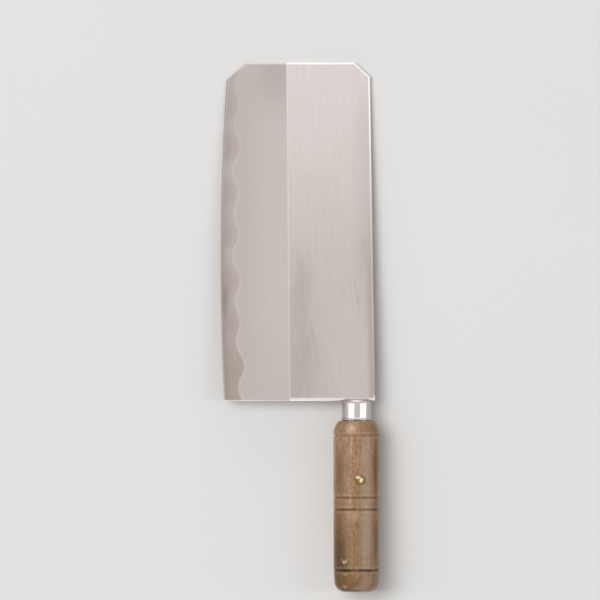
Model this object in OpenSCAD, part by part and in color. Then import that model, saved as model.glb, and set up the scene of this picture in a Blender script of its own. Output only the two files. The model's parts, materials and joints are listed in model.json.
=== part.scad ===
// Chinese cleaver: a clad steel blade, a drawn ferrule and a turned wooden handle with a riveted tang.
// The knife is drawn with the handle's axis along Y and the heel of the blade at Y = 0. The tip is
// towards +Y, the spine towards +X and the shown face towards +Z. It is then laid on its back face,
// in the pose in which it comes to rest on a bench, with the origin under the middle of its box.

/* [Blade] */
// Length from the heel to the tip
blade_len = 205; // [185:1:225]
// Thickness of the clad sheet that the blade is cut from
stock = 2; // [1.6:0.1:2.6]
// Distance from the handle's axis to the deepest point of the edge
belly_reach = 82.5; // [78:0.5:90]
// Distance from the heel to the deepest point of the edge
belly_at = 84; // [70:1:100]
// Radius of the curved edge
edge_r = 1650; // [1400:10:2200]
// Height of the spine over the handle's axis, at the heel
spine_heel = 11.2; // [11:0.1:14]
// Height of the spine over the handle's axis, at the tip
spine_tip = 7.9; // [7:0.1:12]

/* [Grind] */
// Distance from the handle's axis to the grind line, at the heel
grind_heel = 40.4; // [36:0.1:44]
// Distance from the handle's axis to the grind line, at the tip
grind_tip = 42.4; // [36:0.1:44]
// Thickness of the blade just behind the sharpened edge
edge_behind = 0.4; // [0.3:0.05:0.6]
// Angle of the sharpened edge on each side
edge_angle = 14; // [10:1:18]
// Width that the broken corners of the spine, the tip and the heel take off each face
eased = 0.45; // [0.2:0.05:0.5]

/* [Corners] */
// Length that the clipped corner takes off the tip, on the side of the edge
front_clip_across = 12; // [8:0.5:14]
// Length that the clipped corner takes off the edge
front_clip_along = 10.3; // [8:0.1:14]
// Length that the clipped corner takes off the tip, on the side of the spine
back_clip_across = 9.2; // [6:0.1:12]
// Length that the clipped corner takes off the spine
back_clip_along = 8.5; // [6:0.1:12]
// Radius of the corner between the heel and the edge
heel_round = 2; // [1:0.5:4]
// Width of the hollow in the heel, which the front of the ferrule stands in
hollow_w = 20.2; // [20:0.1:20.4]
// Depth of that hollow, on the handle's axis
hollow_depth = 2.1; // [2:0.1:2.4]

/* [Core layer] */
// Mean width of bare core along the edge, at the heel
core_heel = 11.5; // [8:0.1:14]
// Mean width of bare core along the edge, at the tip
core_tip = 6.6; // [5:0.1:10]
// Length of one wave in the line where the cladding ends
wave_len = 26.4; // [20:0.1:35]
// Height of the waves on either side of their middle
wave_amp = 1.75; // [0.5:0.05:2]
// Length of one swell, which the waves ride on
swell_len = 45.2; // [40:0.1:60]
// Height of the swells on either side of their middle
swell_amp = 0.7; // [0:0.1:1]

/* [Tang] */
// Length of the tang behind the heel
tang_len = 85; // [70:1:95]
// Width of the tang at the heel
tang_root = 11; // [10:0.1:12]
// Width of the tang at its end
tang_end = 9; // [8:0.1:10]
// Space for the bedding on each side of the tang
bedding_gap = 0.5; // [0.3:0.1:0.6]

/* [Ferrule] */
// Outer diameter
ferrule_d = 17.8; // [16:0.1:18]
// Length
ferrule_len = 13.1; // [11:0.1:16]
// Length of the ferrule's front that stands in the hollow of the heel
ferrule_over = 1.1; // [0.8:0.1:1.1]
// Thickness of the sheet that the ferrule is drawn from
ferrule_wall = 0.8; // [0.6:0.1:1]
// Radius of the rounded front
ferrule_round = 2.6; // [2.6:0.1:2.8]
// Length of the rolled rim at the back
rim_len = 2; // [1.2:0.1:2.4]
// Height of the rolled rim over the tube
rim_proud = 0.4; // [0.1:0.05:0.5]

/* [Handle] */
// Length of the wood that shows
handle_len = 103.7; // [98:0.1:120]
// Diameter behind the front shoulder
front_d = 28.2; // [28:0.1:30]
// Diameter of the straight length between the third and the fourth groove
grip_d = 28; // [27:0.1:28]
// Diameter at the butt
butt_d = 27; // [26:0.1:27]
// Length of the rounded front shoulder
shoulder_len = 8.2; // [6:0.1:8.2]
// Radius of the wide round that makes the shoulder
shoulder_r = 12; // [10:0.5:14]
// Radius of the small round between the shoulder and the front of the wood
nose_r = 2; // [1:0.1:2.5]
// Radius of the rounded butt
butt_r = 6.5; // [3:0.5:7]
// Distance from the front of the wood to the groove behind the shoulder
groove_1 = 8.9; // [8:0.1:12]
// Distance from the front of the wood to the first of the middle grooves
groove_2 = 46.5; // [44:0.1:50]
// Distance from the front of the wood to the second of the middle grooves
groove_3 = 53.7; // [52:0.1:58]
// Distance from the front of the wood to the groove before the butt
groove_4 = 90.5; // [86:0.1:92]
// Width of a groove
groove_w = 1.3; // [0.8:0.1:1.6]
// Depth of a groove
groove_depth = 0.6; // [0.3:0.1:0.8]

/* [Pin] */
// Distance from the front of the wood to the pin
pin_at = 35.8; // [30:0.1:40]
// Distance from the handle's axis to the pin, towards the spine
pin_side = 2; // [0:0.1:2]
// Diameter of the rod
pin_d = 3; // [2.5:0.1:3.5]
// Diameter of a peened head
head_d = 6.2; // [5:0.1:7]
// Height of a peened head over the wood
head_h = 1; // [0.6:0.1:1.4]

/* [Hidden] */
$fn = 96;

steel_core = [0.62, 0.59, 0.58];
steel_clad = [0.76, 0.74, 0.73];
steel_bright = [0.86, 0.86, 0.87];
walnut = [0.60, 0.47, 0.36];
brass = [0.84, 0.69, 0.34];
resin = [0.35, 0.28, 0.20];

// What a cutter reaches past the solid that it cuts
past = 1;
// Facets round the whole circle of the edge, of which the blade's edge takes a short arc
edge_steps = 360;
// Points along each wave of the core
wave_steps = 10;
// A length that is longer than the whole knife
far = 400;

// Half of the blade's thickness, and of the thickness left behind the edge
half = stock / 2;
half_edge = edge_behind / 2;
// Fall of a bevel for each millimetre from the grind line
bevel_fall = (half - half_edge) / (belly_reach - (grind_heel + grind_tip) / 2);
// Turn of the grind line away from the handle's axis
grind_turn = atan((grind_tip - grind_heel) / blade_len);
// Middle of the circle that the edge lies on
edge_mid = [edge_r - belly_reach, belly_at];

function edge_x(y) = edge_mid.x - sqrt(edge_r ^ 2 - (y - edge_mid.y) ^ 2);
function spine_x(y) = spine_heel + (spine_tip - spine_heel) * y / blade_len;
function grind_x(y) = -grind_heel - (grind_tip - grind_heel) * y / blade_len;

// Distance from the grind line to a point on the edge's side of it
function past_grind(p) = -(p.x + grind_heel) * cos(grind_turn) - p.y * sin(grind_turn);
// Height of the blade's face over its middle plane
function face_z(p) = half - bevel_fall * max(0, past_grind(p));
function on_face(p) = [p.x, p.y, face_z(p)];

// Corners of the blade, in order from the heel at the edge round by the spine
front_corner = [edge_x(blade_len - front_clip_along), blade_len - front_clip_along];
front_clip = [front_corner.x + front_clip_across, blade_len];
back_corner = [spine_x(blade_len - back_clip_along), blade_len - back_clip_along];
back_clip = [back_corner.x - back_clip_across, blade_len];
heel_edge = [edge_x(0), 0];
heel_grind = [grind_x(0), 0];
heel_spine = [spine_heel, 0];
tip_grind = [grind_x(blade_len), blade_len];
rim = [heel_edge, heel_grind, heel_spine, back_corner, back_clip, tip_grind, front_clip, front_corner];

// The front clip runs straight on past the edge, and the edge's own circle ends it
clip_run = 2 * front_corner - front_clip;

// Middle of the round between the heel and the edge, which touches both
heel_mid = [edge_mid.x - sqrt((edge_r - heel_round) ^ 2 - (belly_at - heel_round) ^ 2), heel_round];
// From that middle out past the edge, through the point where the round touches it
heel_out = 3 * heel_round * (heel_mid - edge_mid) / norm(heel_mid - edge_mid);

// Radius of the hollow in the heel
hollow_r = (hollow_w ^ 2 / 4 + hollow_depth ^ 2) / (2 * hollow_depth);

// The core's faces wave along the blade, so the plane bevels cut them in a wavy line. This is the
// width of bare core between that line and the edge, and half the core's thickness under the line.
function bare(y, turns) =
    core_heel + (core_tip - core_heel) * y / blade_len
    + wave_amp * sin(360 * y / wave_len + turns[0])
    + swell_amp * sin(360 * y / swell_len + turns[1]);
function core_half(y, turns) = face_z([edge_x(y) + bare(y, turns), y]);
// Phases of the waves and the swells on the shown face and on the back face
face_turns = [158, -92];
back_turns = [290, 40];
wave_step = wave_len / wave_steps;
wave_ys = [for (y = [-past : wave_step : blade_len + wave_step]) y];

// Places along the handle, as distances behind the heel
wood_front = ferrule_len - ferrule_over;
wood_end = wood_front + handle_len;
grooves = [groove_1, groove_2, groove_3, groove_4];
pin_y = -(wood_front + pin_at);
// The wood's radius at the pin, and the height of its surface over the middle plane there
pin_wood_r = front_d / 2 + (grip_d - front_d) / 2 * (pin_at - shoulder_len) / (groove_3 - shoulder_len);
pin_top = sqrt(pin_wood_r ^ 2 - pin_side ^ 2);
// A peened head is domed as a cap of this sphere
head_r = ((head_d / 2) ^ 2 + head_h ^ 2) / (2 * head_h);

// Middle of the shoulder's wide round, which ends on the full diameter
shoulder_end = wood_front + shoulder_len;
shoulder_mid = [front_d / 2 - shoulder_r, shoulder_end];
// Middle of the small round, which touches the wide one inside and the front of the wood
nose_out = sqrt((shoulder_r - nose_r) ^ 2 - (shoulder_len - nose_r) ^ 2);
nose_mid = [shoulder_mid.x + nose_out, wood_front + nose_r];
// Distance behind the heel at which the two rounds touch
nose_end = shoulder_end - shoulder_r * (shoulder_len - nose_r) / (shoulder_r - nose_r);

// At rest the knife stands on the handle's front shoulder and on the end of the back bevel at the tip.
// The roll lays that bevel flat, and the pitch brings both down to the bench.
roll = atan(bevel_fall);
tip_drop = grind_tip * sin(roll) + half * cos(roll);
shoulder_drop = shoulder_mid.x;
span = blade_len - eased + shoulder_end;
pitch = asin(shoulder_r / norm([span, shoulder_drop - tip_drop])) + atan2(shoulder_drop - tip_drop, span);
lift = tip_drop * cos(pitch) + (blade_len - eased) * sin(pitch);
// Middle of the laid knife's box
mid_x = (front_d / 2 - belly_reach * cos(roll)) / 2;
tip_y = blade_len * cos(pitch) + (half - eased) * sin(pitch);
butt_y = -(wood_end - butt_r) * cos(pitch) - (butt_d / 2 - butt_r) * sin(pitch) - butt_r;
mid_y = (tip_y + butt_y) / 2;

// Lays the knife down, with the middle of its box over the origin
module laid() {
    translate([-mid_x, -mid_y, lift])
        rotate([-pitch, 0, 0])
            rotate([0, -roll, 0])
                children();
}

// A solid of revolution about the handle's axis, from a profile of radius and distance behind the heel
module turned() {
    rotate([90, 0, 0])
        rotate_extrude()
            children();
}

// A flat plate of the given thickness, centred on the blade's middle plane
module plate(thickness) {
    translate([0, 0, -thickness / 2])
        linear_extrude(thickness)
            children();
}

// Outline of the blade without its tang. It overshoots the edge, which the edge's circle trims.
module blade_outline() {
    difference() {
        polygon([
            heel_spine, back_corner, back_clip, front_clip, clip_run, [clip_run.x, 0]
        ]);
        // Round between the heel and the edge
        difference() {
            polygon([
                heel_mid,
                [heel_mid.x, -past],
                [heel_mid.x + heel_out.x, -past],
                heel_mid + heel_out
            ]);
            translate(heel_mid)
                circle(r = heel_round);
        }
        // Hollow round the root of the tang
        translate([0, hollow_depth - hollow_r])
            circle(r = hollow_r);
    }
}

// Outline of the tang, widened all round by gap. It starts inside the blade.
module tang_outline(gap = 0) {
    root = tang_root / 2 + gap;
    end = tang_end / 2 + gap;
    start = hollow_depth + past;
    polygon([
        [-root, start], [root, start], [root, 0],
        [end, -tang_len - gap], [-end, -tang_len - gap], [-root, 0]
    ]);
}

// Flat from the spine to the grind line, then two plane bevels that would meet past the edge
module ground_wedge() {
    translate([-grind_heel, 0, 0])
        rotate([0, 0, grind_turn])
            rotate([90, 0, 0])
                linear_extrude(2 * far, center = true)
                    polygon([
                        [far, half], [0, half], [-half / bevel_fall, 0], [0, -half], [far, -half]
                    ]);
}

// The sharpened edge is the rim of two shallow cones that stand base to base
module sharpened_disc() {
    for (side = [0, 1])
        mirror([0, 0, side])
            translate([edge_mid.x, edge_mid.y, 0])
                cylinder(h = stock, r1 = edge_r, r2 = edge_r - stock / tan(edge_angle), $fn = edge_steps);
}

// A long bar on edge that planes the corner off the straight edge from a to b. It runs on past both
// ends, where it meets nothing, because the outline turns away from it there.
module break_corner(a, b) {
    run = b - a;
    translate(a)
        rotate([0, -asin(run.z / norm(run)), atan2(run.y, run.x)])
            rotate([45, 0, 0])
                cube([2 * far, eased * sqrt(2), eased * sqrt(2)], center = true);
}

// The whole blade with its tang, before it is parted into layers
module blade_blank() {
    difference() {
        intersection() {
            ground_wedge();
            sharpened_disc();
            plate(2 * stock)
                blade_outline();
        }
        for (side = [0, 1])
            mirror([0, 0, side])
                for (i = [0 : len(rim) - 2])
                    break_corner(on_face(rim[i]), on_face(rim[i + 1]));
    }
    difference() {
        plate(stock)
            tang_outline();
        pin_rod();
    }
}

// A prism across the blade whose outline, seen from the spine, is the given points
module layer(points) {
    translate([-far / 2, 0, 0])
        rotate([90, 0, 90])
            linear_extrude(far)
                polygon(points);
}

// Waved boundary of the core, as points along the blade, on the side of the given sign
function boundary(sign, turns) = concat(
    [[-tang_len - past, sign * core_half(0, turns)]],
    [for (y = wave_ys) [y, sign * core_half(y, turns)]]
);
function reversed(list) = [for (i = [len(list) - 1 : -1 : 0]) list[i]];
// Outer boundary of a cladding layer, above or below the blade
function outside(sign) = [
    [wave_ys[len(wave_ys) - 1], sign * stock],
    [-tang_len - past, sign * stock]
];

module core_steel() {
    color(steel_core)
        laid()
            intersection() {
                blade_blank();
                layer(concat(boundary(1, face_turns), reversed(boundary(-1, back_turns))));
            }
}

module cladding_face() {
    color(steel_clad)
        laid()
            intersection() {
                blade_blank();
                layer(concat(boundary(1, face_turns), outside(1)));
            }
}

module cladding_back() {
    color(steel_clad)
        laid()
            intersection() {
                blade_blank();
                layer(concat(boundary(-1, back_turns), outside(-1)));
            }
}

// Half outline of the drawn cup, from its front to end, which is a distance behind the heel. With the
// wall given, it is the cup's inside, which the tenon of the wood fills.
module cup_profile(end, wall = 0) {
    front = wall - ferrule_over;
    round_r = ferrule_round - wall;
    round_mid = [ferrule_d / 2 - ferrule_round, ferrule_round - ferrule_over];
    translate([0, front])
        square([round_mid.x, end - front]);
    translate([0, round_mid.y])
        square([round_mid.x + round_r, end - round_mid.y]);
    translate(round_mid)
        circle(r = round_r);
}

// Drawn cup with a rounded front, a rolled rim and a slot for the tang. Its round keeps the front
// clear of the blade inside the hollow of the heel.
module ferrule() {
    color(steel_bright)
        laid()
            difference() {
                turned() {
                    cup_profile(wood_front);
                    translate([ferrule_d / 2 + rim_proud - rim_len / 2, wood_front - rim_len / 2])
                        circle(d = rim_len);
                }
                turned()
                    cup_profile(wood_front + past, ferrule_wall);
                plate(stock)
                    tang_outline();
            }
}

// Outline of the turned wood behind the ferrule, without its grooves
module wood_profile() {
    square_end = wood_end - butt_r;
    translate(nose_mid)
        circle(r = nose_r);
    intersection() {
        translate(shoulder_mid)
            circle(r = shoulder_r);
        translate([0, nose_end])
            square([front_d, shoulder_r]);
    }
    translate([butt_d / 2 - butt_r, square_end])
        circle(r = butt_r);
    polygon([
        [0, wood_front],
        [nose_mid.x, wood_front],
        [nose_mid.x, shoulder_end],
        [front_d / 2, shoulder_end],
        [grip_d / 2, wood_front + groove_3],
        [grip_d / 2, wood_front + groove_4],
        [butt_d / 2, square_end],
        [butt_d / 2 - butt_r, square_end],
        [butt_d / 2 - butt_r, wood_end],
        [0, wood_end]
    ]);
}

// A groove with a sharp bottom, cut at the given distance from the front of the wood
module groove(at) {
    depth = grip_d / 2 - groove_depth;
    over = groove_depth + past;
    translate([depth, wood_front + at])
        polygon([
            [0, 0],
            [over, groove_w / 2 * over / groove_depth],
            [over, -groove_w / 2 * over / groove_depth]
        ]);
}

// Slot that is burnt and filed into the wood for the tang
module tang_slot() {
    plate(stock + 2 * bedding_gap)
        tang_outline(bedding_gap);
}

module handle() {
    color(walnut)
        laid()
            difference() {
                turned()
                    difference() {
                        union() {
                            wood_profile();
                            cup_profile(wood_front + past, ferrule_wall);
                        }
                        for (at = grooves)
                            groove(at);
                    }
                tang_slot();
                pin_rod();
            }
}

// Rod of the pin, from the wood's surface on one side to the other
module pin_rod() {
    translate([pin_side, pin_y, 0])
        cylinder(d = pin_d, h = 2 * (pin_top + head_h / 2), center = true);
}

module pin() {
    color(brass)
        laid() {
            pin_rod();
            // Heads peened down on the round wood, with the rims that the hammer leaves
            difference() {
                intersection() {
                    translate([pin_side, pin_y, 0])
                        cylinder(d = head_d, h = front_d, center = true);
                    for (side = [-1, 1])
                        translate([pin_side, pin_y, side * (pin_top + head_h - head_r)])
                            sphere(r = head_r);
                }
                turned()
                    wood_profile();
            }
        }
}

// Bedding that fills the slot round the tang, up to the inside of the ferrule's front
module tang_bedding() {
    color(resin)
        laid()
            intersection() {
                difference() {
                    tang_slot();
                    plate(stock)
                        tang_outline();
                    pin_rod();
                }
                turned()
                    cup_profile(wood_end, ferrule_wall);
            }
}

core_steel();
cladding_face();
cladding_back();
ferrule();
handle();
pin();
tang_bedding();
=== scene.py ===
# Chinese cleaver with a clad blade, a steel ferrule and a turned wooden handle, laid on a pale bench.
import json
import math

import bpy
from mathutils import Matrix, Vector

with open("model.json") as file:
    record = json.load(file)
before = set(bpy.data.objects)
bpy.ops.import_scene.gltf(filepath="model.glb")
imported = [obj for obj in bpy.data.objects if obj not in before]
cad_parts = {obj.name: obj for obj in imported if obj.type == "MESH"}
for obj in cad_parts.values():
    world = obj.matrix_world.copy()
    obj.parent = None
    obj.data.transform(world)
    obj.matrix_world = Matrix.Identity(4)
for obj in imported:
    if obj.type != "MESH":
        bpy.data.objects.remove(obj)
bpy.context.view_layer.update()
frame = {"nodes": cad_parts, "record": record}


# How the knife lies
# On its back, a little tip down and rolled towards the edge. Its own axes start where the handle's axis
# meets the heel. They run across to the spine, along to the tip and up out of the face, in millimetres.
MM = 0.001
GRIP_TO_HEEL = 84.1 * MM

mounts = {mount["name"]: mount for mount in frame["record"]["mounts"]}
to_tip = -Vector(mounts["grip"]["axis"]).normalized()
face_up = Vector(mounts["rack_face"]["axis"]).normalized()
to_spine = to_tip.cross(face_up).normalized()
heel = Vector(mounts["grip"]["pos_m"]) + to_tip * GRIP_TO_HEEL
turn = Matrix((to_spine, to_tip, face_up)).transposed()
knife = Matrix.Translation(heel) @ turn.to_4x4()


# Clad blade, outer layers
# Two layers of soft stainless steel, rolled onto the core while hot. The flat from the spine to the grind
# line keeps the lengthwise brushing of the sheet. The bevels are ground by a wheel and finished finer.

# The outline: spine and grind line off the handle's axis, the arc of the edge, and the clipped corners
BLADE_LENGTH = 205.0
SPINE_AT_HEEL, SPINE_AT_TIP = 11.2, 7.9
GRIND_AT_HEEL, GRIND_AT_TIP = 40.4, 42.4
GRIND_TURN = math.atan((GRIND_AT_TIP - GRIND_AT_HEEL) / BLADE_LENGTH)
EDGE_RADIUS, EDGE_REACH, EDGE_BELLY = 1650.0, 82.5, 84.0
FRONT_CLIP = (12.0, 10.3)
BACK_CLIP = (9.2, 8.5)
# The wavy line where the core comes to light: how far in from the edge, its two waves, and where these start
BARE_AT_HEEL, BARE_AT_TIP = 11.5, 6.6
WAVE_LENGTH, WAVE_HEIGHT = 26.4, 1.75
SWELL_LENGTH, SWELL_HEIGHT = 45.2, 0.7
FACE_TURNS = (158.0, -92.0)
BACK_TURNS = (290.0, 40.0)
# The values that most of a noise texture lies between, and the middle of them
NOISE_ENDS = (0.2, 0.8)
NOISE_MIDDLE = (0.3, 0.7)
RIGHT_THROUGH = 100.0


def feed(tree, value, socket):
    """Links a socket into another, or sets a plain value on it."""
    if isinstance(value, bpy.types.NodeSocket):
        tree.links.new(value, socket)
    else:
        socket.default_value = value


def add(tree, kind, **settings):
    """A node of that kind. A setting that names a socket gives its value or what feeds it."""
    node = tree.nodes.new("ShaderNode" + kind)
    for name, value in settings.items():
        if hasattr(node, name):
            setattr(node, name, value)
        else:
            feed(tree, value, node.inputs[name.replace("_", " ")])
    return node


def calc(tree, operation, *values, clamp=False):
    """The output of a Math node."""
    node = add(tree, "Math", operation=operation, use_clamp=clamp)
    for value, socket in zip(values, node.inputs):
        feed(tree, value, socket)
    return node.outputs["Value"]


def vector_calc(tree, operation, *values):
    """The outputs of a Vector Math node."""
    node = add(tree, "VectorMath", operation=operation)
    for value, socket in zip(values, node.inputs):
        feed(tree, value, socket)
    return node.outputs


def ramp(tree, value, low, high, to_low=0.0, to_high=1.0, smooth=True):
    """A value mapped from one span to another, and held at its ends."""
    curve = "SMOOTHSTEP" if smooth else "LINEAR"
    return add(tree, "MapRange", interpolation_type=curve, Value=value, From_Min=low, From_Max=high,
               To_Min=to_low, To_Max=to_high).outputs["Result"]


def fade(tree, value, low, high, strength=1.0):
    """A strength that falls to nothing as the value goes from low to high."""
    return ramp(tree, value, low, high, strength, 0.0)


def blend(tree, share, first, second, how="MIX"):
    """A colour mixed from two others by a share from 0 to 1."""
    node = add(tree, "Mix", data_type="RGBA", blend_type=how, Factor=share)
    # The colour sockets share their names with others, so they go by number.
    for value, place in ((first, 6), (second, 7)):
        feed(tree, value if isinstance(value, bpy.types.NodeSocket) else (*value, 1.0), node.inputs[place])
    return node.outputs[2]


def layered(tree, color, *layers):
    """A colour with others laid over it in turn, each by its share."""
    for share, over in layers:
        color = blend(tree, share, color, over)
    return color


def pick(tree, share, first, second):
    """A value mixed from two others by a share from 0 to 1."""
    node = add(tree, "Mix", Factor=share)
    for value, place in ((first, 2), (second, 3)):
        feed(tree, value, node.inputs[place])
    return node.outputs[0]


def noise(tree, place, scale, detail=2.0, roughness=0.5, distortion=0.0):
    """The value of a noise texture."""
    return add(tree, "TexNoise", Vector=place, Scale=scale, Detail=detail, Roughness=roughness,
               Distortion=distortion).outputs["Fac"]


def knife_place(tree):
    """The place on the knife, in millimetres along its own axes."""
    back = knife.inverted()
    return add(tree, "Mapping", Vector=add(tree, "TexCoord").outputs["Object"], Scale=(1 / MM,) * 3,
               Rotation=back.to_euler(), Location=back.translation / MM).outputs["Vector"]


def new_group(name, inputs, outputs):
    """An empty node group with the sockets named, what it is given and what it makes."""
    group = bpy.data.node_groups.new(name, "ShaderNodeTree")
    for side, sockets in (("INPUT", inputs), ("OUTPUT", outputs)):
        for socket, kind in sockets.items():
            group.interface.new_socket(socket, in_out=side, socket_type="NodeSocket" + kind)
    return group, group.nodes.new("NodeGroupInput").outputs, group.nodes.new("NodeGroupOutput").inputs


def use_group(tree, group, **values):
    """Places a group and returns its outputs."""
    return add(tree, "Group", node_tree=group, **values).outputs


def new_material(name):
    """A material with its tree and its Principled node."""
    material = bpy.data.materials.new(name)
    material.use_nodes = True
    return material, material.node_tree, material.node_tree.nodes["Principled BSDF"]


def set_finish(tree, shader, **sockets):
    """Gives sockets of the Principled node their values, or what feeds them."""
    for name, value in sockets.items():
        feed(tree, value, shader.inputs[name.replace("_", " ")])


def emboss(tree, shader, strength, depth, height):
    """Raises marks of that depth out of the surface."""
    bump = add(tree, "Bump", Strength=strength, Distance=depth * MM, Height=height)
    feed(tree, bump.outputs["Normal"], shader.inputs["Normal"])


def dress(material, *nodes):
    """Gives CAD nodes a material."""
    for name in nodes:
        frame["nodes"][name].data.materials.clear()
        frame["nodes"][name].data.materials.append(material)


def make_streaks():
    """Fine scratches along the knife, from 0 to 1, with the length and the width of one."""
    group, given, made = new_group("streaks", {"Place": "Vector", "Length": "Float", "Width": "Float"},
                                   {"Streaks": "Float"})
    split = add(group, "SeparateXYZ", Vector=given["Place"])
    across = [calc(group, "DIVIDE", split.outputs[axis], given["Width"]) for axis in ("X", "Z")]
    along = calc(group, "DIVIDE", split.outputs["Y"], given["Length"])
    place = add(group, "CombineXYZ", X=across[0], Y=along, Z=across[1])
    feed(group, noise(group, place.outputs["Vector"], 1.0, detail=4.0, roughness=0.65), made["Streaks"])
    return group


def make_haze():
    """Soft patches where a hand or a cloth has dulled a polished surface."""
    group, given, made = new_group("haze", {"Place": "Vector", "Size": "Float"}, {"Haze": "Float"})
    size = calc(group, "DIVIDE", 1.0, given["Size"])
    cloud = noise(group, given["Place"], size, detail=3.0, roughness=0.55, distortion=0.6)
    feed(group, ramp(group, cloud, 0.38, 0.68), made["Haze"])
    return group


def edge_x(y):
    """How far across the edge lies, at a place along the knife."""
    return EDGE_RADIUS - EDGE_REACH - math.sqrt(EDGE_RADIUS ** 2 - (y - EDGE_BELLY) ** 2)


def make_grind():
    """How far a place lies past the grind line, past the wavy line where the core comes to light, and
    in from the edge."""
    group, given, made = new_group("grind", {"Place": "Vector"},
                                   {"Past grind": "Float", "Past cladding": "Float", "From edge": "Float"})
    split = add(group, "SeparateXYZ", Vector=given["Place"])
    x, y, z = (split.outputs[axis] for axis in "XYZ")
    past_grind = calc(group, "MULTIPLY_ADD", x, -math.cos(GRIND_TURN), -GRIND_AT_HEEL * math.cos(GRIND_TURN))
    past_grind = calc(group, "MULTIPLY_ADD", y, -math.sin(GRIND_TURN), past_grind)
    rise = calc(group, "POWER", calc(group, "SUBTRACT", y, EDGE_BELLY), 2.0)
    reach = calc(group, "SQRT", calc(group, "SUBTRACT", EDGE_RADIUS ** 2, rise))
    from_edge = calc(group, "SUBTRACT", calc(group, "ADD", x, reach), EDGE_RADIUS - EDGE_REACH)
    sides = []
    for starts in (BACK_TURNS, FACE_TURNS):
        bare = calc(group, "MULTIPLY_ADD", y, (BARE_AT_TIP - BARE_AT_HEEL) / BLADE_LENGTH, BARE_AT_HEEL)
        for start, length, height in zip(starts, (WAVE_LENGTH, SWELL_LENGTH), (WAVE_HEIGHT, SWELL_HEIGHT)):
            angle = calc(group, "MULTIPLY_ADD", y, math.tau / length, math.radians(start))
            bare = calc(group, "MULTIPLY_ADD", calc(group, "SINE", angle), height, bare)
        sides.append(bare)
    bare = pick(group, calc(group, "GREATER_THAN", z, 0.0), *sides)
    feed(group, past_grind, made["Past grind"])
    feed(group, calc(group, "SUBTRACT", bare, from_edge), made["Past cladding"])
    feed(group, from_edge, made["From edge"])
    return group


def make_inset():
    """How far a place lies in from the nearest border of the blade but the edge, and in from the spine."""
    low = BLADE_LENGTH - FRONT_CLIP[1]
    high = BLADE_LENGTH - BACK_CLIP[1]
    back_x = SPINE_AT_HEEL + (SPINE_AT_TIP - SPINE_AT_HEEL) * high / BLADE_LENGTH
    corners = [(edge_x(0.0), 0.0), (SPINE_AT_HEEL, 0.0), (back_x, high),
               (back_x - BACK_CLIP[0], BLADE_LENGTH), (edge_x(low) + FRONT_CLIP[0], BLADE_LENGTH),
               (edge_x(low), low)]
    group, given, made = new_group("inset", {"Place": "Vector"}, {"Inset": "Float", "From spine": "Float"})
    insets = []
    for first, second in zip(corners, corners[1:]):
        run = (Vector(second) - Vector(first)).normalized()
        inward = Vector((-run.y, run.x, 0.0))
        depth = vector_calc(group, "DOT_PRODUCT", given["Place"], inward)["Value"]
        insets.append(calc(group, "SUBTRACT", depth, inward.dot(Vector((*first, 0.0)))))
    nearest = insets[0]
    for inset in insets[1:]:
        nearest = calc(group, "MINIMUM", nearest, inset)
    feed(group, nearest, made["Inset"])
    feed(group, insets[1], made["From spine"])
    return group


def make_smear():
    """A soft ragged smear round a middle, with the half widths given. Its long axis leans by that much
    across for each millimetre along."""
    group, given, made = new_group("smear", {"Place": "Vector", "Middle": "Vector", "Reach": "Vector",
                                             "Lean": "Float"}, {"Smear": "Float"})
    offset = vector_calc(group, "SUBTRACT", given["Place"], given["Middle"])["Vector"]
    split = add(group, "SeparateXYZ", Vector=offset)
    slid = calc(group, "MULTIPLY", split.outputs["Y"], given["Lean"])
    slid = calc(group, "SUBTRACT", split.outputs["X"], slid)
    upright = add(group, "CombineXYZ", X=slid, Y=split.outputs["Y"], Z=split.outputs["Z"])
    scaled = vector_calc(group, "DIVIDE", upright.outputs["Vector"], given["Reach"])["Vector"]
    length = vector_calc(group, "LENGTH", scaled)["Value"]
    ragged = noise(group, scaled, 2.2, detail=3.0)
    away = calc(group, "MULTIPLY_ADD", ragged, 0.7, calc(group, "SUBTRACT", length, 0.35))
    feed(group, fade(group, away, 0.1, 1.0), made["Smear"])
    return group


streaks = make_streaks()
haze = make_haze()
grind = make_grind()
inset = make_inset()
smear = make_smear()


def smeared(tree, place, middle, reach, lean=0.0):
    """The strength of a smear. One that is given in the plane of the blade goes right through the knife."""
    if len(middle) == 2:
        middle = (*middle, 0.0)
        reach = (*reach, RIGHT_THROUGH)
    return use_group(tree, smear, Place=place, Middle=middle, Reach=reach, Lean=lean)["Smear"]


# The flat's colours at the tip, the middle and the heel make a painted reflection: the flat is painted
# brighter toward the tip and darker toward the heel
FLAT_TIP_COLOR = (0.700, 0.640, 0.617)
FLAT_MIDDLE_COLOR = (0.545, 0.484, 0.460)
FLAT_HEEL_COLOR = (0.490, 0.428, 0.402)
# A darker flat colour, for the dull brushing and hazy patches and also for the painted dark reflections
FLAT_DULL_AND_REFLECTION_COLOR = (0.400, 0.350, 0.325)
FLAT_BRIGHT_COLOR = (0.850, 0.820, 0.800)
BEVEL_COLOR = (0.535, 0.490, 0.456)
BEVEL_LOW_COLOR = (0.480, 0.438, 0.406)
LINE_COLOR = (0.640, 0.600, 0.570)
# The painted glint of the eased borders, the brown that it fades into toward the heel, and its dimmer middle
GLINT_COLOR = (0.900, 0.870, 0.860)
BROWN_BAND_COLOR = (0.440, 0.365, 0.328)
DIM_GLINT_COLOR = (0.548, 0.456, 0.415)
# Marks of the coarse and the fine brush and of the wheel: the length and the width of one
BRUSHING = {"Length": 24.0, "Width": 1.3}
FINE_BRUSHING = {"Length": 9.0, "Width": 0.4}
WHEEL_MARKS = {"Length": 6.0, "Width": 1.6}
SMUDGE_SIZE = 22.0
SMUDGE_SHARE = 0.08
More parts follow.
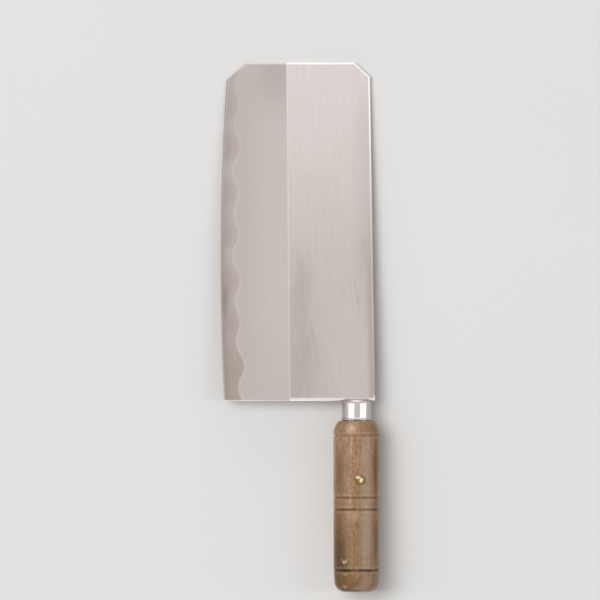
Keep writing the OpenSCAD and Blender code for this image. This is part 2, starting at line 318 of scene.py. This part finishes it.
# Where the flat changes colour: along it from the heel, across it, and in from the spine
FLAT_TO_TIP = (60.0, 200.0)
FLAT_TO_HEEL = (70.0, 0.0)
FLAT_TO_EDGE = (-6.0, -34.0)
DULL_MIDDLE = 115.0
DULL_ALONG = (40.0, 95.0)
DULL_FROM_SPINE = (1.0, 15.0)
BROWN_ALONG = (60.0, 130.0)
BROWN_FROM_SPINE = (1.2, 5.6)
# Painted dark reflections on the flat, drawn out along the brushing: the middle, the half widths, the lean
# and the strength
DARK_REFLECTIONS = (((-40.0, 18.0), (26.0, 92.0), 0.0, 0.50), ((-33.0, 68.0), (9.0, 34.0), 0.0, 0.50),
          ((-32.0, 29.0), (7.0, 28.0), 0.0, 0.40), ((-25.2, 34.0), (1.8, 20.0), -0.18, 0.55),
          ((0.5, 63.0), (1.6, 16.0), -0.17, 0.40), ((3.5, 90.0), (6.0, 20.0), 0.0, 0.30))
# Where the bevel changes colour: down it from the grind line, and along it
BEVEL_DOWN = (5.0, 34.0)
BEVEL_TO_HEEL = (60.0, 0.0)
DULL_DOWN = (8.0, 26.0)
DULL_TO_TIP = (165.0, 200.0)
# A painted highlight along the grind line, and the bright line before the wavy line
GRIND_HIGHLIGHT = (0.1, 0.8)
GRIND_HIGHLIGHT_SHARE = 0.22
WAVY_LINE = (-2.0, -0.4)
WAVY_LINE_TO_TIP = (110.0, 190.0)
# Painted glints on the eased borders: how far in they reach, how far up the heel, and where along the blade
# they shine. Toward the heel the painted glint turns dimmer and then brown
EASED = 0.45
BORDER = (EASED + 0.5, EASED + 1.2)
HEEL_BORDER = (1.6, 2.2)
BORDER_SHINES = (70.0, 190.0)
HEEL_SHINES = (2.4, 4.0)
BORDER_BROWN_TO_DIM = (5.0, 65.0)
FLAT_ROUGH = (0.26, 0.38)
BEVEL_ROUGH = (0.30, 0.36)
GLINT_ROUGH = 0.45
SMUDGE_ROUGH = 0.05
BRUSHING_DEPTH = 0.03

clad_steel, tree, steel = new_material("clad_steel")
place = knife_place(tree)
split = add(tree, "SeparateXYZ", Vector=place)
across, along = split.outputs["X"], split.outputs["Y"]
lines = use_group(tree, grind, Place=place)
borders = use_group(tree, inset, Place=place)
on_bevel = ramp(tree, lines["Past grind"], -0.1, 0.25)
brushing = use_group(tree, streaks, Place=place, **BRUSHING)["Streaks"]
fine_brushing = use_group(tree, streaks, Place=place, **FINE_BRUSHING)["Streaks"]
wheel_marks = use_group(tree, streaks, Place=place, **WHEEL_MARKS)["Streaks"]
smudges = use_group(tree, haze, Place=place, Size=SMUDGE_SIZE)["Haze"]
smudged = calc(tree, "MULTIPLY", smudges, SMUDGE_SHARE)

# Painted reflection: the flat goes from its middle colour to a brighter tip and a darker heel
by_heel = calc(tree, "MULTIPLY", ramp(tree, along, *FLAT_TO_HEEL), ramp(tree, across, *FLAT_TO_EDGE))
flat_color = layered(tree, FLAT_MIDDLE_COLOR,
                     (ramp(tree, along, *FLAT_TO_TIP), FLAT_TIP_COLOR),
                     (by_heel, FLAT_HEEL_COLOR))
# The flat is painted darker in these patches: painted reflections of dark surroundings, not handling marks
for middle, reach, lean, strength in DARK_REFLECTIONS:
    dark_reflection = calc(tree, "MULTIPLY", smeared(tree, place, middle, reach, lean), strength)
    flat_color = blend(tree, dark_reflection, flat_color, FLAT_DULL_AND_REFLECTION_COLOR)
from_middle = calc(tree, "ABSOLUTE", calc(tree, "SUBTRACT", along, DULL_MIDDLE))
by_spine = calc(tree, "MULTIPLY", fade(tree, borders["From spine"], *DULL_FROM_SPINE, 0.30),
                fade(tree, from_middle, *DULL_ALONG))
# A darker brown band along the spine toward the heel
brown_band = calc(tree, "MULTIPLY", fade(tree, borders["From spine"], *BROWN_FROM_SPINE),
               fade(tree, along, *BROWN_ALONG))
flat_color = layered(tree, flat_color,
                     (by_spine, FLAT_DULL_AND_REFLECTION_COLOR),
                     (ramp(tree, brushing, 0.30, 0.70, 0.0, 0.14), FLAT_DULL_AND_REFLECTION_COLOR),
                     (ramp(tree, fine_brushing, 0.35, 0.70, 0.0, 0.12), FLAT_BRIGHT_COLOR),
                     (smudged, FLAT_DULL_AND_REFLECTION_COLOR),
                     (brown_band, BROWN_BAND_COLOR))

by_tip = calc(tree, "MULTIPLY", fade(tree, lines["Past grind"], *DULL_DOWN),
              ramp(tree, along, *DULL_TO_TIP, 0.0, 0.55))
wavy_line = calc(tree, "MULTIPLY", ramp(tree, lines["Past cladding"], *WAVY_LINE),
                 ramp(tree, along, *WAVY_LINE_TO_TIP, 0.24, 0.10))
bevel_color = layered(tree, BEVEL_COLOR,
                      (ramp(tree, lines["Past grind"], *BEVEL_DOWN), BEVEL_LOW_COLOR),
                      (ramp(tree, wheel_marks, *NOISE_MIDDLE, 0.0, 0.08), LINE_COLOR),
                      (smudged, FLAT_DULL_AND_REFLECTION_COLOR),
                      (ramp(tree, along, *BEVEL_TO_HEEL, 0.0, 0.55), BEVEL_LOW_COLOR),
                      (by_tip, FLAT_DULL_AND_REFLECTION_COLOR),
                      (wavy_line, LINE_COLOR))

# Painted highlight: the ridge of the grind line is painted paler, as if it caught the light
grind_highlight = fade(tree, calc(tree, "ABSOLUTE", lines["Past grind"]), *GRIND_HIGHLIGHT)
# Painted glint: the eased borders are painted bright where they would catch the lamps. They are not worn
# brighter
rub_and_glint = fade(tree, calc(tree, "MULTIPLY_ADD", fine_brushing, 0.5, borders["Inset"]), *BORDER)
at_heel = calc(tree, "MULTIPLY", fade(tree, along, *HEEL_BORDER), fade(tree, on_bevel, 0.0, 1.0))
rub_and_glint = calc(tree, "MAXIMUM", rub_and_glint, at_heel)
shine = calc(tree, "MAXIMUM", ramp(tree, along, *BORDER_SHINES), fade(tree, along, *HEEL_SHINES, 0.62))
shine = calc(tree, "MULTIPLY", shine, ramp(tree, on_bevel, 0.0, 1.0, 1.0, 0.3))
glint_color = layered(tree, BROWN_BAND_COLOR,
                       (ramp(tree, along, *BORDER_BROWN_TO_DIM), DIM_GLINT_COLOR),
                       (shine, GLINT_COLOR))
clad_color = layered(tree, flat_color,
                     (on_bevel, bevel_color),
                     (calc(tree, "MULTIPLY", grind_highlight, GRIND_HIGHLIGHT_SHARE), FLAT_BRIGHT_COLOR),
                     (rub_and_glint, glint_color))

flat_rough = ramp(tree, brushing, *NOISE_ENDS, *FLAT_ROUGH, smooth=False)
bevel_rough = ramp(tree, wheel_marks, *NOISE_ENDS, *BEVEL_ROUGH, smooth=False)
rough = calc(tree, "MULTIPLY_ADD", smudges, SMUDGE_ROUGH, pick(tree, on_bevel, flat_rough, bevel_rough))
rough = pick(tree, rub_and_glint, rough, GLINT_ROUGH)
brush_height = calc(tree, "ADD", fine_brushing, calc(tree, "MULTIPLY", brushing, 0.6))
set_finish(tree, steel, Base_Color=clad_color, Roughness=rough, Metallic=1.0)
emboss(tree, steel, 0.10, BRUSHING_DEPTH, brush_height)
dress(clad_steel, "cladding_face", "cladding_back")


# Core of the blade
# One thin layer of hard carbon steel between the outer two. The bevels lay it bare below the wavy line,
# where etching leaves it greyer. A whetstone then grinds the narrow bevels that meet at the edge.
CORE_COLOR = (0.378, 0.318, 0.292)
CORE_HIGH_COLOR = (0.452, 0.396, 0.374)
CORE_HEEL_COLOR = (0.330, 0.266, 0.234)
CORE_EDGE_COLOR = (0.240, 0.190, 0.168)
# The whetstone bevel is painted darker: a painted dark reflection along the edge
SHARPENED_COLOR = (0.270, 0.232, 0.212)
STONE_MARKS = {"Length": 3.0, "Width": 0.5}
CLOUD_SIZE = 7.0
# Where the core changes colour: down it from the wavy line, along it, and in from the edge
CORE_DOWN = (0.5, 8.0)
CORE_TO_HEEL = (90.0, 0.0)
WELD_LINE = (0.2, 1.4)
DARK_FROM_EDGE = (0.5, 4.5)
DARK_ALONG = (85.0, 118.0)
SHARPENED = (0.8, 0.95)
# A darker smudge on the edge: the middle and the half widths
EDGE_SMUDGE = ((-80.0, 61.0), (4.5, 15.0))
CORE_ROUGH = (0.30, 0.42)
STONE_DEPTH = 0.02

core_steel, tree, steel = new_material("core_steel")
place = knife_place(tree)
along = add(tree, "SeparateXYZ", Vector=place).outputs["Y"]
lines = use_group(tree, grind, Place=place)
borders = use_group(tree, inset, Place=place)
stone_marks = use_group(tree, streaks, Place=place, **STONE_MARKS)["Streaks"]
cloud = use_group(tree, haze, Place=place, Size=CLOUD_SIZE)["Haze"]
by_edge = calc(tree, "MULTIPLY", fade(tree, lines["From edge"], *DARK_FROM_EDGE),
               fade(tree, along, *DARK_ALONG, 0.30))
smudge = smeared(tree, place, *EDGE_SMUDGE)
# Painted glint on the core's eased borders, as on the cladding
rub_and_glint = calc(tree, "MULTIPLY_ADD", stone_marks, 0.4, borders["Inset"])
core_color = layered(tree, CORE_COLOR,
                     (fade(tree, lines["Past cladding"], *CORE_DOWN), CORE_HIGH_COLOR),
                     (ramp(tree, along, *CORE_TO_HEEL, 0.0, 0.65), CORE_HEEL_COLOR),
                     (calc(tree, "MULTIPLY", cloud, 0.10), BEVEL_COLOR),
                     (ramp(tree, stone_marks, *NOISE_MIDDLE, 0.0, 0.12), BEVEL_COLOR),
                     (fade(tree, lines["Past cladding"], *WELD_LINE, 0.7), BEVEL_LOW_COLOR),
                     (by_edge, CORE_EDGE_COLOR),
                     (calc(tree, "MULTIPLY", smudge, 0.50), CORE_EDGE_COLOR),
                     (fade(tree, lines["From edge"], *SHARPENED), SHARPENED_COLOR),
                     (fade(tree, rub_and_glint, EASED, EASED + 0.6, 0.35), GLINT_COLOR))
core_rough = ramp(tree, stone_marks, *NOISE_ENDS, *CORE_ROUGH, smooth=False)
set_finish(tree, steel, Base_Color=core_color, Roughness=core_rough, Metallic=1.0)
emboss(tree, steel, 0.08, STONE_DEPTH, stone_marks)
dress(core_steel, "core_steel")


# Ferrule
# A cup drawn from stainless sheet, pressed over the front of the wood and polished on the lathe. Its
# closed front stands in the hollow of the heel, and its rolled rim meets the shoulder of the wood.
FERRULE_BACK = -12.0
FERRULE_COLOR = (0.535, 0.470, 0.470)
FERRULE_DULL_COLOR = (0.460, 0.420, 0.410)
# Painted shade at the back rim, where the ferrule meets the wood: its colour and how far it reaches
SEAM_SHADE_COLOR = (0.120, 0.090, 0.070)
SEAM_SHADE_REACH = 0.5
RUBBED_SIZE = 4.0
FERRULE_ROUGH = (0.17, 0.23)
TURNING_DEPTH = 0.02

ferrule_steel, tree, steel = new_material("ferrule_steel")
place = knife_place(tree)
along = add(tree, "SeparateXYZ", Vector=place).outputs["Y"]
turning = noise(tree, add(tree, "CombineXYZ", X=along).outputs["Vector"], 9.0, detail=3.0, roughness=0.7)
rub_and_glint = use_group(tree, haze, Place=place, Size=RUBBED_SIZE)["Haze"]
# Painted shade: the steel is painted darker along the back rim, where it meets the wood
seam_shade = fade(tree, along, FERRULE_BACK, FERRULE_BACK + SEAM_SHADE_REACH, 0.7)
ferrule_color = layered(tree, FERRULE_COLOR,
                        (calc(tree, "MULTIPLY", rub_and_glint, 0.15), FERRULE_DULL_COLOR),
                        (seam_shade, SEAM_SHADE_COLOR))
ferrule_rough = calc(tree, "MULTIPLY_ADD", rub_and_glint, 0.06, ramp(tree, turning, *NOISE_MIDDLE, *FERRULE_ROUGH))
set_finish(tree, steel, Base_Color=ferrule_color, Roughness=ferrule_rough, Metallic=1.0)
emboss(tree, steel, 0.05, TURNING_DEPTH, turning)
dress(ferrule_steel, "ferrule")


# Handle
# One billet of open-grained hardwood, turned between centres, scorched in its grooves with a wire,
# sanded and oiled. Its tenon sits in the ferrule.

# Turned grooves: how far each lies behind the ferrule, and how strongly it is scorched. 0 is sanded bare, and
# such a groove is painted lighter to offset the shade inside it
GROOVES = ((8.9, 0.0), (46.5, 0.07), (53.7, 0.52), (90.5, 0.57))
SCORCH_REACH = (0.30, 1.45)
LIGHTENED_REACH = (0.3, 0.9)
# Painted highlights on the edges beside each groove: how far off the groove they lie, and how wide
LIP_OFF = 1.6
LIP_REACH = (0.1, 1.0)
# Painted light on the last groove: its scorch is painted weaker on top than at the sides, as light falls on
# the top: the middle and the half widths
GROOVE_LIT_TOP = ((-0.7, -102.5, 13.0), (5.5, 4.0, 6.0))
SCORCH_ON_LIT_TOP = 0.6
WOOD_PALE = (0.490, 0.300, 0.165)
WOOD_MID = (0.335, 0.190, 0.095)
WOOD_RED = (0.315, 0.150, 0.080)
WOOD_BROWN = (0.215, 0.118, 0.048)
WOOD_DARK = (0.090, 0.048, 0.014)
WOOD_OLIVE = (0.480, 0.390, 0.200)
WOOD_AMBER = (1.000, 0.920, 0.680)
# The next two colours are painted sheen: a cool grey band and a pale patch where the lamps reflect
WOOD_SHEEN_GREY = (0.420, 0.280, 0.188)
WOOD_SHEEN = (0.640, 0.490, 0.360)
WOOD_BRIGHT = (0.720, 0.510, 0.320)
PORE_COLOR = (0.080, 0.042, 0.018)
SCORCH_COLOR = (0.028, 0.018, 0.010)
# The grain: the length and the width of a fibre, and how far each other mark goes across and along it
FIBRE = {"Length": 11.0, "Width": 1.3}
HAIR = {"Length": 4.0, "Width": 0.35}
TONE_SIZE = (5.0, 22.0)
REDNESS_SIZE = (3.5, 18.0)
MOTTLE_SIZE = (1.5, 2.4)
WANDER_SIZE = (1.6, 3.0)
PORE_SIZE = (0.42, 2.9)
PORE_DEPTH = 0.08
# The wood is painted browner toward the butt: painted shade
BROWN_TO_BUTT = (-35.0, -90.0)
# Darker and paler places of the billet: the middle, the half widths, the colour and the strength. The grey
# band right of the top and the pale patch on the shoulder are painted sheen, painted reflections of the lamps
WOOD_MARKS = (((5.6, -42.0, 12.0), (8.0, 46.0, 12.0), WOOD_SHEEN_GREY, 0.55),
              ((5.6, -84.0, 12.0), (8.0, 34.0, 12.0), WOOD_SHEEN_GREY, 0.55),
              ((5.0, -112.0, 12.0), (7.0, 9.0, 10.0), WOOD_SHEEN_GREY, 0.60),
              ((-10.0, -48.0, 9.0), (6.0, 28.0, 10.0), WOOD_BROWN, 0.65),
              ((9.0, -16.5, 9.0), (5.0, 6.0, 8.0), WOOD_BROWN, 0.60),
              ((-3.0, -16.8, 12.0), (5.0, 5.0, 7.0), WOOD_SHEEN, 0.85),
              ((-0.8, -70.0, 14.0), (3.4, 5.0, 6.0), WOOD_BRIGHT, 0.35),
              ((-7.0, -104.8, 12.0), (3.0, 1.6, 8.0), WOOD_BRIGHT, 0.50),
              ((0.4, -106.0, 13.0), (2.4, 2.4, 8.0), WOOD_BRIGHT, 0.25))
# Where the wood is multiplied darker and more olive, most of it low on the left towards the butt: the middle,
# the half widths, the colour over it and the strength
WOOD_TINTS = (((-10.5, -92.0, 9.0), (10.5, 38.0, 12.0), WOOD_OLIVE, 0.80),
               ((-10.5, -88.0, 9.0), (5.5, 20.0, 8.0), WOOD_OLIVE, 0.55),
               ((-6.3, -101.2, 9.0), (7.5, 7.5, 9.0), WOOD_OLIVE, 0.75),
               ((-7.5, -113.0, 8.0), (15.0, 9.0, 14.0), WOOD_OLIVE, 0.75),
               ((-12.8, -97.0, 6.0), (4.5, 28.0, 8.0), WOOD_OLIVE, 0.75),
               ((0.5, -107.0, 12.0), (7.0, 6.0, 8.0), WOOD_OLIVE, 0.40),
               ((-11.5, -45.0, 8.0), (3.5, 34.0, 8.0), WOOD_OLIVE, 0.30),
               ((11.5, -42.0, 8.0), (2.0, 32.0, 6.0), WOOD_OLIVE, 1.00),
               ((11.9, -84.0, 8.0), (2.0, 22.0, 6.0), WOOD_OLIVE, 0.90),
               ((-7.0, -96.0, 10.0), (11.0, 40.0, 10.0), WOOD_AMBER, 1.00))
# Where growth rings come out as nested points: the tip of each, and how strongly
FLAMES = (((-7.4, -98.4), 1.0), ((-7.0, -113.4), 0.5))
FLAME_SLOPE = 0.80
FLAME_WANDER = 0.6
FLAME_BRIGHT_REACH = (0.3, 2.2)
FLAME_DARK_REACH = (0.4, 4.4)
# Their bands, in from the outline of the points: where each comes in, where it goes out, and the strength
FLAME_OUTER_DARK = ((-4.6, -1.6), (-1.2, -0.2), 1.0)
FLAME_BRIGHT = ((-0.9, 0.3), (0.5, 2.2), 0.75)
FLAME_INNER_DARK = ((1.8, 3.0), (4.0, 9.0), 0.8)
# Growth rings in the end grain of the butt: the pith that they curve round, and how far apart they are
BUTT_END = -115.7
PITH = (-21.0, 0.0, -27.0)
RING_APART = 2.6
RING_WAVER = 1.3
END_GRAIN = (BUTT_END + 3.4, BUTT_END + 0.4)


def stretched(tree, place, across, along):
    """The place squeezed by the sizes that one mark of a texture has across and along the grain."""
    return add(tree, "Mapping", Vector=place,
               Scale=(1.0 / across, 1.0 / along, 1.0 / across)).outputs["Vector"]


def band(tree, value, comes, goes, strength):
    """A band that comes in over one span of the value and goes out over another."""
    return calc(tree, "MULTIPLY", ramp(tree, value, *comes), fade(tree, value, *goes, strength))


def distance(tree, place, middle, axes):
    """How far a place is from a middle, along the axes that are 1."""
    offset = vector_calc(tree, "SUBTRACT", place, middle)["Vector"]
    kept = vector_calc(tree, "MULTIPLY", offset, axes)["Vector"]
    return vector_calc(tree, "LENGTH", kept)["Value"]


handle_wood, tree, wood = new_material("handle_wood")
place = knife_place(tree)
split = add(tree, "SeparateXYZ", Vector=place)
across, along = split.outputs["X"], split.outputs["Y"]
in_front = calc(tree, "GREATER_THAN", split.outputs["Z"], 0.0)
fibre = use_group(tree, streaks, Place=place, **FIBRE)["Streaks"]
hair = use_group(tree, streaks, Place=place, **HAIR)["Streaks"]
tone = noise(tree, stretched(tree, place, *TONE_SIZE), 1.0, detail=2.0)
redness = noise(tree, stretched(tree, place, *REDNESS_SIZE), 1.0, detail=2.0)
mottle = noise(tree, stretched(tree, place, *MOTTLE_SIZE), 1.0, detail=3.0, roughness=0.6)
wood_color = layered(tree, WOOD_PALE,
                     (ramp(tree, fibre, 0.34, 0.64), WOOD_MID),
                     (ramp(tree, redness, 0.40, 0.62, 0.0, 0.50), WOOD_RED),
                     (ramp(tree, tone, 0.42, 0.66, 0.0, 0.45), WOOD_BROWN),
                     (ramp(tree, along, *BROWN_TO_BUTT, 0.0, 0.40), WOOD_BROWN),
                     (ramp(tree, mottle, 0.42, 0.64, 0.0, 0.60), WOOD_BROWN),
                     (ramp(tree, mottle, 0.44, 0.30, 0.0, 0.35), WOOD_PALE))
for marks, how in ((WOOD_MARKS, "MIX"), (WOOD_TINTS, "MULTIPLY")):
    for middle, reach, color, strength in marks:
        share = calc(tree, "MULTIPLY", smeared(tree, place, middle, reach), strength)
        wood_color = blend(tree, share, wood_color, color, how)

wander = noise(tree, stretched(tree, place, *WANDER_SIZE), 1.0, detail=3.0)
wander = ramp(tree, wander, *NOISE_MIDDLE, -FLAME_WANDER, FLAME_WANDER, smooth=False)
for (side, tip), strength in FLAMES:
    aside = calc(tree, "ABSOLUTE", calc(tree, "SUBTRACT", across, side))
    inside = calc(tree, "MULTIPLY_ADD", aside, -FLAME_SLOPE, calc(tree, "SUBTRACT", along, tip))
    inside = calc(tree, "ADD", inside, wander)
    near = calc(tree, "MULTIPLY", fade(tree, aside, *FLAME_BRIGHT_REACH, strength), in_front)
    around = calc(tree, "MULTIPLY", fade(tree, aside, *FLAME_DARK_REACH, 0.85 * strength), in_front)
    dark = calc(tree, "ADD", band(tree, inside, *FLAME_OUTER_DARK), band(tree, inside, *FLAME_INNER_DARK))
    bright = band(tree, inside, *FLAME_BRIGHT)
    wood_color = layered(tree, wood_color,
                         (calc(tree, "MULTIPLY", dark, around), WOOD_DARK),
                         (calc(tree, "MULTIPLY", bright, near), WOOD_BRIGHT))

rings = calc(tree, "DIVIDE", distance(tree, place, PITH, (1.0, 0.0, 1.0)), RING_APART)
rings = calc(tree, "MULTIPLY_ADD", noise(tree, place, 0.12, detail=2.0), RING_WAVER, rings)
late_wood = calc(tree, "MULTIPLY", ramp(tree, calc(tree, "FRACT", rings), 0.35, 0.95),
                 ramp(tree, along, *END_GRAIN, 0.0, 0.55))
pores = add(tree, "TexVoronoi", Vector=stretched(tree, place, *PORE_SIZE), Scale=1.0, Randomness=1.0)
pore = fade(tree, pores.outputs["Distance"], 0.12, 0.32)
wood_color = layered(tree, wood_color,
                     (late_wood, WOOD_DARK),
                     (calc(tree, "MULTIPLY", pore, 0.60), PORE_COLOR),
                     (ramp(tree, hair, 0.45, 0.75, 0.0, 0.35), PORE_COLOR))

ragged = noise(tree, place, 0.9, detail=3.0)
uneven = ramp(tree, noise(tree, place, 0.16, detail=1.0), 0.40, 0.60, 0.30, 1.3)
# Painted light: the last groove's scorch is weaker on top
lit_top = smeared(tree, place, *GROOVE_LIT_TOP)
uneven = calc(tree, "MULTIPLY", uneven, ramp(tree, lit_top, 0.0, 1.0, 1.0, SCORCH_ON_LIT_TOP))
scorch, lip_highlight, lightened = 0.0, 0.0, 0.0
for behind, scorched in GROOVES:
    off = calc(tree, "ABSOLUTE", calc(tree, "ADD", along, behind - FERRULE_BACK))
    off_lip = calc(tree, "ABSOLUTE", calc(tree, "SUBTRACT", off, LIP_OFF))
    # Painted highlight on both edges of the groove
    lip_highlight = calc(tree, "MAXIMUM", fade(tree, off_lip, *LIP_REACH), lip_highlight)
    if scorched:
        off = calc(tree, "MULTIPLY_ADD", ragged, 0.6, calc(tree, "SUBTRACT", off, 0.3))
        burn = calc(tree, "MULTIPLY", fade(tree, off, *SCORCH_REACH), scorched)
        scorch = calc(tree, "MAXIMUM", burn, scorch)
    else:
        # Painted light: the unscorched groove is painted lighter, against the shade inside it
        lightened = calc(tree, "MAXIMUM", fade(tree, off, *LIGHTENED_REACH), lightened)
scorch = calc(tree, "MULTIPLY", scorch, uneven, clamp=True)
wood_color = layered(tree, wood_color,
                     (calc(tree, "MULTIPLY", lip_highlight, 0.10), WOOD_BRIGHT),
                     (calc(tree, "MULTIPLY", lightened, 0.15), WOOD_BRIGHT),
                     (scorch, SCORCH_COLOR))
wood_rough = calc(tree, "MULTIPLY_ADD", pore, 0.25, ramp(tree, fibre, *NOISE_ENDS, 0.28, 0.40))
set_finish(tree, wood, Base_Color=wood_color, Roughness=wood_rough, Specular_IOR_Level=0.15,
           Coat_Weight=0.35, Coat_Roughness=0.20)
grain_height = calc(tree, "SUBTRACT", calc(tree, "MULTIPLY", fibre, 0.4), calc(tree, "ADD", pore, scorch))
emboss(tree, wood, 0.35, PORE_DEPTH, grain_height)
dress(handle_wood, "handle")


# Pin
# A brass rod driven through the wood and the tang, and peened down to a low dome on both sides.
PIN_MIDDLE = (2.0, -47.8, 0.0)
HEAD_RADIUS = 3.1
BRASS_GLINT_COLOR = (1.000, 0.900, 0.590)
TARNISH_COLOR = (0.285, 0.188, 0.060)
# A dark brass for the tarnish and for the painted shade round the rim
TARNISH_AND_SHADE_BRASS = (0.110, 0.075, 0.022)
TARNISH_SIZE = 2.2
# Two painted glints on the dome, where the lamps would shine on it: the middle and the half widths of each
PIN_GLINTS = (((0.8, -46.1), (2.1, 1.45)), ((2.8, -47.8), (1.7, 2.25)))
BRASS_ROUGH = (0.14, 0.30)
HAMMER_DEPTH = 0.4

pin_brass, tree, metal = new_material("pin_brass")
place = knife_place(tree)
tarnish = use_group(tree, haze, Place=place, Size=TARNISH_SIZE)["Haze"]
from_middle = distance(tree, place, PIN_MIDDLE, (1.0, 1.0, 0.0))
# Darker toward the rim of the head: tarnish, and painted shade where the dome meets the wood
rim_tarnish_and_shade = ramp(tree, from_middle, 0.60 * HEAD_RADIUS, HEAD_RADIUS, 0.0, 0.8)
# Painted glints: the two bright patches stand for the lamps' highlights on the dome
brass_color = layered(tree, TARNISH_COLOR,
                      (calc(tree, "MULTIPLY", tarnish, 0.35), TARNISH_AND_SHADE_BRASS),
                      (rim_tarnish_and_shade, TARNISH_AND_SHADE_BRASS),
                      *[(smeared(tree, place, middle, reach), BRASS_GLINT_COLOR) for middle, reach in PIN_GLINTS])
brass_rough = ramp(tree, tarnish, 0.0, 1.0, *BRASS_ROUGH)
set_finish(tree, metal, Base_Color=brass_color, Roughness=brass_rough, Metallic=1.0)
hammered = add(tree, "TexVoronoi", Vector=place, Scale=0.45, feature="SMOOTH_F1").outputs["Distance"]
emboss(tree, metal, 0.5, HAMMER_DEPTH, hammered)
dress(pin_brass, "pin")


# Bedding of the tang
# Adhesive run into the burnt slot round the tang. It shows nowhere while the knife is whole.
BEDDING_COLOR = (0.120, 0.080, 0.045)
BUBBLE_COLOR = (0.200, 0.140, 0.080)

bedding, tree, glue = new_material("bedding")
bubbles = noise(tree, knife_place(tree), 0.8, detail=3.0)
set_finish(tree, glue, Base_Color=blend(tree, bubbles, BEDDING_COLOR, BUBBLE_COLOR),
           Roughness=ramp(tree, bubbles, *NOISE_MIDDLE, 0.45, 0.65))
dress(bedding, "tang_bedding")


# Bench, light and camera
# A plain pale bench in soft studio light. The camera stands square over the blade's face.
FLOOR_SIZE = 8.0
FLOOR_COLOR = (0.800, 0.790, 0.780)
FLOOR_SPOT_COLOR = (0.700, 0.690, 0.680)
FLOOR_FAR_COLOR = (0.940, 0.940, 0.940)
FLOOR_PALES = (0.5, 3.0)
SKY_LIGHT = 0.25
# Soft panels: the angle from +X, degrees off straight up, how far off, the width, the height and the glow
PANELS = (("panel_over", 150.0, 26.0, 7.8, 4.8, 4.8, 5.0),
          ("panel_left", 180.0, 43.0, 4.5, 0.48, 3.6, 4.4),
          ("panel_right", 0.0, 51.0, 4.5, 0.45, 3.6, 4.6),
          ("panel_tip", 90.0, 76.0, 6.0, 4.8, 1.8, 2.0),
          ("panel_heel", 270.0, 76.0, 6.0, 4.8, 1.8, 2.0))
# The large one only lights the bench and the knife. It isn't mirrored in the steel
NOT_MIRRORED = "panel_over"
# The picture: its scale, its side in pixels, and the place of its middle on the knife
MM_PER_PIXEL = 0.606
IMAGE_SIDE = 600
PICTURE_MIDDLE = (-34.3, 61.2)
LENS = 1000.0
SENSOR = 36.0
CLIP_END = 40.0

bpy.ops.mesh.primitive_plane_add(size=FLOOR_SIZE, location=(0.0, 0.0, 0.0))
floor = bpy.context.object
floor.name = "bench_floor"
floor_paint, tree, paint = new_material("floor_paint")
place = add(tree, "TexCoord").outputs["Object"]
spots = ramp(tree, noise(tree, place, 6.0, detail=4.0), *NOISE_MIDDLE, 0.0, 0.05)
far_off = ramp(tree, vector_calc(tree, "LENGTH", place)["Value"], *FLOOR_PALES)
floor_color = layered(tree, FLOOR_COLOR, (spots, FLOOR_SPOT_COLOR), (far_off, FLOOR_FAR_COLOR))
set_finish(tree, paint, Base_Color=floor_color, Roughness=0.6)
floor.data.materials.append(floor_paint)

world = bpy.data.worlds.new("studio")
world.use_nodes = True
bpy.context.scene.world = world
sky = world.node_tree
background = sky.nodes["Background"]
rays = add(sky, "LightPath").outputs
seen = calc(sky, "MAXIMUM", rays["Is Camera Ray"], rays["Is Transmission Ray"])
seen = calc(sky, "MAXIMUM", seen, rays["Is Glossy Ray"])
feed(sky, pick(sky, seen, SKY_LIGHT, 1.0), background.inputs["Strength"])
background.inputs["Color"].default_value = (1.0, 1.0, 1.0, 1.0)

for name, angle, lean, off, width, height, glow in PANELS:
    way = Vector((math.sin(math.radians(lean)) * math.cos(math.radians(angle)),
                  math.sin(math.radians(lean)) * math.sin(math.radians(angle)),
                  math.cos(math.radians(lean))))
    light = bpy.data.lights.new(name, "AREA")
    light.shape = "RECTANGLE"
    light.size = width
    light.size_y = height
    light.energy = glow * math.pi * width * height
    panel = bpy.data.objects.new(name, light)
    bpy.context.scene.collection.objects.link(panel)
    panel.location = way * off
    panel.rotation_euler = way.to_track_quat("Z", "Y").to_euler()
    panel.visible_camera = False
    panel.visible_glossy = name != NOT_MIRRORED

camera_data = bpy.data.cameras.new("camera")
camera_data.lens = LENS
camera_data.sensor_width = SENSOR
camera_data.clip_end = CLIP_END
camera = bpy.data.objects.new("camera", camera_data)
bpy.context.scene.collection.objects.link(camera)
camera_off = IMAGE_SIDE * MM_PER_PIXEL * LENS / SENSOR
camera.matrix_world = knife @ Matrix.Translation(Vector((*PICTURE_MIDDLE, camera_off)) * MM)
bpy.context.scene.camera = camera
bpy.context.scene.view_settings.view_transform = "Standard"
